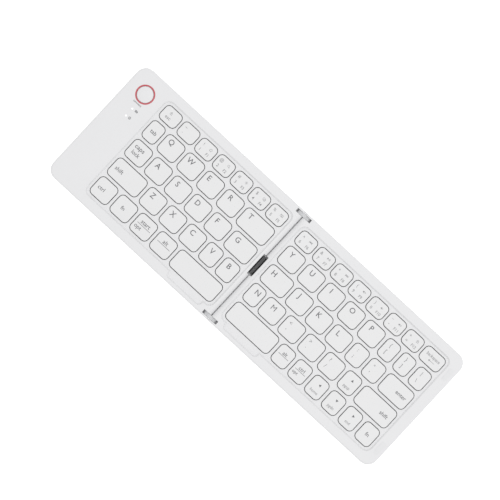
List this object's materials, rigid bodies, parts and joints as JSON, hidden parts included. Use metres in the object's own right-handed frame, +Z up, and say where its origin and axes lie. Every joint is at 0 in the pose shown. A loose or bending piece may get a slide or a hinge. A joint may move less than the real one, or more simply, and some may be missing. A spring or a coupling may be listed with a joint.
{
  "type": "folding keyboard",
  "caption": "Thin folding keyboard in two white shells joined by a link hinge with two parallel axes, with round-cornered flat keys in recessed wells and a ringed pairing button.",
  "frame": {"origin": "centre of the table surface under the open keyboard, midway along its length and depth", "axes": "+X along the keyboard towards the enter key, +Y towards the number row, +Z up from the table"},
  "size_m": [0.292, 0.097, 0.0079],
  "materials": {
    "shell_white": "fine matt moulded plastic",
    "deck_white": "fine matt moulded plastic",
    "keycap_white": "smooth matt plastic with printed marks",
    "button_white": "smooth satin plastic",
    "ring_red": "smooth coloured plastic",
    "light_pipe": "clear-white moulded light pipe",
    "foot_rubber": "matt light grey rubber",
    "pad_rubber": "matt pale rubber",
    "link_grey": "fine matt light grey coating",
    "pin_steel": "turned steel",
    "screw_steel": "plated steel",
    "spine_grey": "matt light grey plastic",
    "ribbon_black": "flexible black film",
    "plate_metal": "rolled sheet",
    "contact_sheet": "printed polyester film",
    "dome_rubber": "translucent silicone",
    "battery_foil": "foil pouch",
    "board_green": "glass-fibre board",
    "dark_parts": "moulded component bodies",
    "port_metal": "stamped steel"
  },
  "bodies": {
    "left_half": {"left_bottom_case": "shell_white", "left_top_deck": "deck_white", "left_key_plate": "plate_metal", "left_membrane": "contact_sheet", "left_dome_sheet": "dome_rubber", "battery": "battery_foil", "circuit_board": "board_green", "board_parts": "dark_parts", "charging_port": "port_metal", "status_lights": "light_pipe", "connect_ring": "ring_red", "left_feet": "foot_rubber", "left_screws": "screw_steel"},
    "connect_button": {"connect_button": "button_white"},
    "hinge_links": {"rear_hinge_link": "link_grey", "front_hinge_link": "link_grey", "hinge_pins": "pin_steel", "spine_bar": "spine_grey", "ribbon_cable": "ribbon_black"},
    "right_half": {"right_bottom_case": "shell_white", "right_top_deck": "deck_white", "right_key_plate": "plate_metal", "right_membrane": "contact_sheet", "right_dome_sheet": "dome_rubber", "closing_pads": "pad_rubber", "right_feet": "foot_rubber", "right_screws": "screw_steel"},
    "key_q": {"key_q": "keycap_white"},
    "key_w": {"key_w": "keycap_white"},
    "key_e": {"key_e": "keycap_white"},
    "key_r": {"key_r": "keycap_white"},
    "key_t": {"key_t": "keycap_white"},
    "key_a": {"key_a": "keycap_white"},
    "key_s": {"key_s": "keycap_white"},
    "key_d": {"key_d": "keycap_white"},
    "key_f": {"key_f": "keycap_white"},
    "key_g": {"key_g": "keycap_white"},
    "key_z": {"key_z": "keycap_white"},
    "key_x": {"key_x": "keycap_white"},
    "key_c": {"key_c": "keycap_white"},
    "key_v": {"key_v": "keycap_white"},
    "key_b": {"key_b": "keycap_white"},
    "left_space_bar": {"left_space_bar": "keycap_white"},
    "left_number_keys": {"left_number_keys": "keycap_white"},
    "left_side_keys": {"left_side_keys": "keycap_white"},
    "key_y": {"key_y": "keycap_white"},
    "key_u": {"key_u": "keycap_white"},
    "key_i": {"key_i": "keycap_white"},
    "key_o": {"key_o": "keycap_white"},
    "key_p": {"key_p": "keycap_white"},
    "key_h": {"key_h": "keycap_white"},
    "key_j": {"key_j": "keycap_white"},
    "key_k": {"key_k": "keycap_white"},
    "key_l": {"key_l": "keycap_white"},
    "key_n": {"key_n": "keycap_white"},
    "key_m": {"key_m": "keycap_white"},
    "right_space_bar": {"right_space_bar": "keycap_white"},
    "right_number_keys": {"right_number_keys": "keycap_white"},
    "right_side_keys": {"right_side_keys": "keycap_white"},
    "right_mark_keys": {"right_mark_keys": "keycap_white"}
  },
  "joints": [
    {"name": "fold_left", "type": "hinge", "parent": "hinge_links", "child": "left_half", "pos_m": [-0.0037, 0, 0.0041], "axis": [0, 1, 0], "range_deg": [0, 90], "deforming": ["ribbon_cable"]},
    {"name": "fold_right", "type": "hinge", "parent": "hinge_links", "child": "right_half", "pos_m": [0.0037, 0, 0.0041], "axis": [0, -1, 0], "range_deg": [0, 90], "deforming": ["ribbon_cable"]},
    {"name": "connect_button_press", "type": "slide", "parent": "left_half", "child": "connect_button", "axis": [0, 0, 1], "range_m": [-0.0004, 0], "stiffness_N_per_m": 300, "springref_m": 0.001},
    {"name": "key_q_press", "type": "slide", "parent": "left_half", "child": "key_q", "axis": [0, 0, 1], "range_m": [-0.0012, 0], "stiffness_N_per_m": 150, "springref_m": 0.002, "deforming": ["left_dome_sheet"]},
    {"name": "key_w_press", "type": "slide", "parent": "left_half", "child": "key_w", "axis": [0, 0, 1], "range_m": [-0.0012, 0], "stiffness_N_per_m": 150, "springref_m": 0.002, "deforming": ["left_dome_sheet"]},
    {"name": "key_e_press", "type": "slide", "parent": "left_half", "child": "key_e", "axis": [0, 0, 1], "range_m": [-0.0012, 0], "stiffness_N_per_m": 150, "springref_m": 0.002, "deforming": ["left_dome_sheet"]},
    {"name": "key_r_press", "type": "slide", "parent": "left_half", "child": "key_r", "axis": [0, 0, 1], "range_m": [-0.0012, 0], "stiffness_N_per_m": 150, "springref_m": 0.002, "deforming": ["left_dome_sheet"]},
    {"name": "key_t_press", "type": "slide", "parent": "left_half", "child": "key_t", "axis": [0, 0, 1], "range_m": [-0.0012, 0], "stiffness_N_per_m": 150, "springref_m": 0.002, "deforming": ["left_dome_sheet"]},
    {"name": "key_a_press", "type": "slide", "parent": "left_half", "child": "key_a", "axis": [0, 0, 1], "range_m": [-0.0012, 0], "stiffness_N_per_m": 150, "springref_m": 0.002, "deforming": ["left_dome_sheet"]},
    {"name": "key_s_press", "type": "slide", "parent": "left_half", "child": "key_s", "axis": [0, 0, 1], "range_m": [-0.0012, 0], "stiffness_N_per_m": 150, "springref_m": 0.002, "deforming": ["left_dome_sheet"]},
    {"name": "key_d_press", "type": "slide", "parent": "left_half", "child": "key_d", "axis": [0, 0, 1], "range_m": [-0.0012, 0], "stiffness_N_per_m": 150, "springref_m": 0.002, "deforming": ["left_dome_sheet"]},
    {"name": "key_f_press", "type": "slide", "parent": "left_half", "child": "key_f", "axis": [0, 0, 1], "range_m": [-0.0012, 0], "stiffness_N_per_m": 150, "springref_m": 0.002, "deforming": ["left_dome_sheet"]},
    {"name": "key_g_press", "type": "slide", "parent": "left_half", "child": "key_g", "axis": [0, 0, 1], "range_m": [-0.0012, 0], "stiffness_N_per_m": 150, "springref_m": 0.002, "deforming": ["left_dome_sheet"]},
    {"name": "key_z_press", "type": "slide", "parent": "left_half", "child": "key_z", "axis": [0, 0, 1], "range_m": [-0.0012, 0], "stiffness_N_per_m": 150, "springref_m": 0.002, "deforming": ["left_dome_sheet"]},
    {"name": "key_x_press", "type": "slide", "parent": "left_half", "child": "key_x", "axis": [0, 0, 1], "range_m": [-0.0012, 0], "stiffness_N_per_m": 150, "springref_m": 0.002, "deforming": ["left_dome_sheet"]},
    {"name": "key_c_press", "type": "slide", "parent": "left_half", "child": "key_c", "axis": [0, 0, 1], "range_m": [-0.0012, 0], "stiffness_N_per_m": 150, "springref_m": 0.002, "deforming": ["left_dome_sheet"]},
    {"name": "key_v_press", "type": "slide", "parent": "left_half", "child": "key_v", "axis": [0, 0, 1], "range_m": [-0.0012, 0], "stiffness_N_per_m": 150, "springref_m": 0.002, "deforming": ["left_dome_sheet"]},
    {"name": "key_b_press", "type": "slide", "parent": "left_half", "child": "key_b", "axis": [0, 0, 1], "range_m": [-0.0012, 0], "stiffness_N_per_m": 150, "springref_m": 0.002, "deforming": ["left_dome_sheet"]},
    {"name": "key_left_space_bar_press", "type": "slide", "parent": "left_half", "child": "left_space_bar", "axis": [0, 0, 1], "range_m": [-0.0012, 0], "stiffness_N_per_m": 150, "springref_m": 0.002, "deforming": ["left_dome_sheet"]},
    {"name": "key_left_number_keys_press", "type": "slide", "parent": "left_half", "child": "left_number_keys", "axis": [0, 0, 1], "range_m": [-0.0012, 0], "stiffness_N_per_m": 1200, "springref_m": 0.002, "deforming": ["left_dome_sheet"]},
    {"name": "key_left_side_keys_press", "type": "slide", "parent": "left_half", "child": "left_side_keys", "axis": [0, 0, 1], "range_m": [-0.0012, 0], "stiffness_N_per_m": 1200, "springref_m": 0.002, "deforming": ["left_dome_sheet"]},
    {"name": "key_y_press", "type": "slide", "parent": "right_half", "child": "key_y", "axis": [0, 0, 1], "range_m": [-0.0012, 0], "stiffness_N_per_m": 150, "springref_m": 0.002, "deforming": ["right_dome_sheet"]},
    {"name": "key_u_press", "type": "slide", "parent": "right_half", "child": "key_u", "axis": [0, 0, 1], "range_m": [-0.0012, 0], "stiffness_N_per_m": 150, "springref_m": 0.002, "deforming": ["right_dome_sheet"]},
    {"name": "key_i_press", "type": "slide", "parent": "right_half", "child": "key_i", "axis": [0, 0, 1], "range_m": [-0.0012, 0], "stiffness_N_per_m": 150, "springref_m": 0.002, "deforming": ["right_dome_sheet"]},
    {"name": "key_o_press", "type": "slide", "parent": "right_half", "child": "key_o", "axis": [0, 0, 1], "range_m": [-0.0012, 0], "stiffness_N_per_m": 150, "springref_m": 0.002, "deforming": ["right_dome_sheet"]},
    {"name": "key_p_press", "type": "slide", "parent": "right_half", "child": "key_p", "axis": [0, 0, 1], "range_m": [-0.0012, 0], "stiffness_N_per_m": 150, "springref_m": 0.002, "deforming": ["right_dome_sheet"]},
    {"name": "key_h_press", "type": "slide", "parent": "right_half", "child": "key_h", "axis": [0, 0, 1], "range_m": [-0.0012, 0], "stiffness_N_per_m": 150, "springref_m": 0.002, "deforming": ["right_dome_sheet"]},
    {"name": "key_j_press", "type": "slide", "parent": "right_half", "child": "key_j", "axis": [0, 0, 1], "range_m": [-0.0012, 0], "stiffness_N_per_m": 150, "springref_m": 0.002, "deforming": ["right_dome_sheet"]},
    {"name": "key_k_press", "type": "slide", "parent": "right_half", "child": "key_k", "axis": [0, 0, 1], "range_m": [-0.0012, 0], "stiffness_N_per_m": 150, "springref_m": 0.002, "deforming": ["right_dome_sheet"]},
    {"name": "key_l_press", "type": "slide", "parent": "right_half", "child": "key_l", "axis": [0, 0, 1], "range_m": [-0.0012, 0], "stiffness_N_per_m": 150, "springref_m": 0.002, "deforming": ["right_dome_sheet"]},
    {"name": "key_n_press", "type": "slide", "parent": "right_half", "child": "key_n", "axis": [0, 0, 1], "range_m": [-0.0012, 0], "stiffness_N_per_m": 150, "springref_m": 0.002, "deforming": ["right_dome_sheet"]},
    {"name": "key_m_press", "type": "slide", "parent": "right_half", "child": "key_m", "axis": [0, 0, 1], "range_m": [-0.0012, 0], "stiffness_N_per_m": 150, "springref_m": 0.002, "deforming": ["right_dome_sheet"]},
    {"name": "key_right_space_bar_press", "type": "slide", "parent": "right_half", "child": "right_space_bar", "axis": [0, 0, 1], "range_m": [-0.0012, 0], "stiffness_N_per_m": 150, "springref_m": 0.002, "deforming": ["right_dome_sheet"]},
    {"name": "key_right_number_keys_press", "type": "slide", "parent": "right_half", "child": "right_number_keys", "axis": [0, 0, 1], "range_m": [-0.0012, 0], "stiffness_N_per_m": 1200, "springref_m": 0.002, "deforming": ["right_dome_sheet"]},
    {"name": "key_right_side_keys_press", "type": "slide", "parent": "right_half", "child": "right_side_keys", "axis": [0, 0, 1], "range_m": [-0.0012, 0], "stiffness_N_per_m": 1200, "springref_m": 0.002, "deforming": ["right_dome_sheet"]},
    {"name": "key_right_mark_keys_press", "type": "slide", "parent": "right_half", "child": "right_mark_keys", "axis": [0, 0, 1], "range_m": [-0.0012, 0], "stiffness_N_per_m": 1200, "springref_m": 0.002, "deforming": ["right_dome_sheet"]}
  ],
  "couplings": [
    {"joint": "fold_right", "follows": "fold_left", "ratio": 1}
  ]
}
